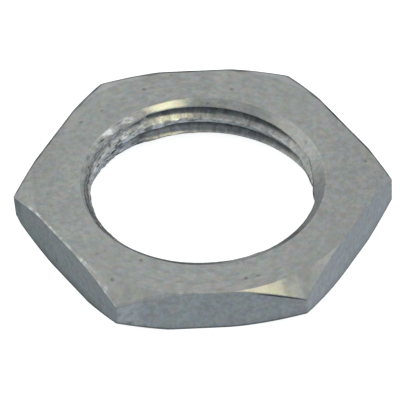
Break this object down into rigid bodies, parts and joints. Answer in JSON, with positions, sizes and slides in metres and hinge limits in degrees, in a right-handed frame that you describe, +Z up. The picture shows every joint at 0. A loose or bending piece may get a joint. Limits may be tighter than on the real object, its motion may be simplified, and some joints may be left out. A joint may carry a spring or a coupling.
{
  "type": "metric nut",
  "caption": "Thin hexagonal lock nut with a fine metric thread right through, countersunk at both ends, its corners turned off to a slope at both faces.",
  "frame": {"origin": "on the thread's axis, at the lower face", "axes": "+Z up the thread's axis, +X through a corner of the hexagon, +Y square to a flat"},
  "size_m": [0.0278, 0.024, 0.0035],
  "materials": {
    "nut_metal": "fine matt turned and drawn steel, brighter on the countersinks and thread"
  },
  "bodies": {
    "root": {"hex_nut": "nut_metal"}
  },
  "joints": []
}
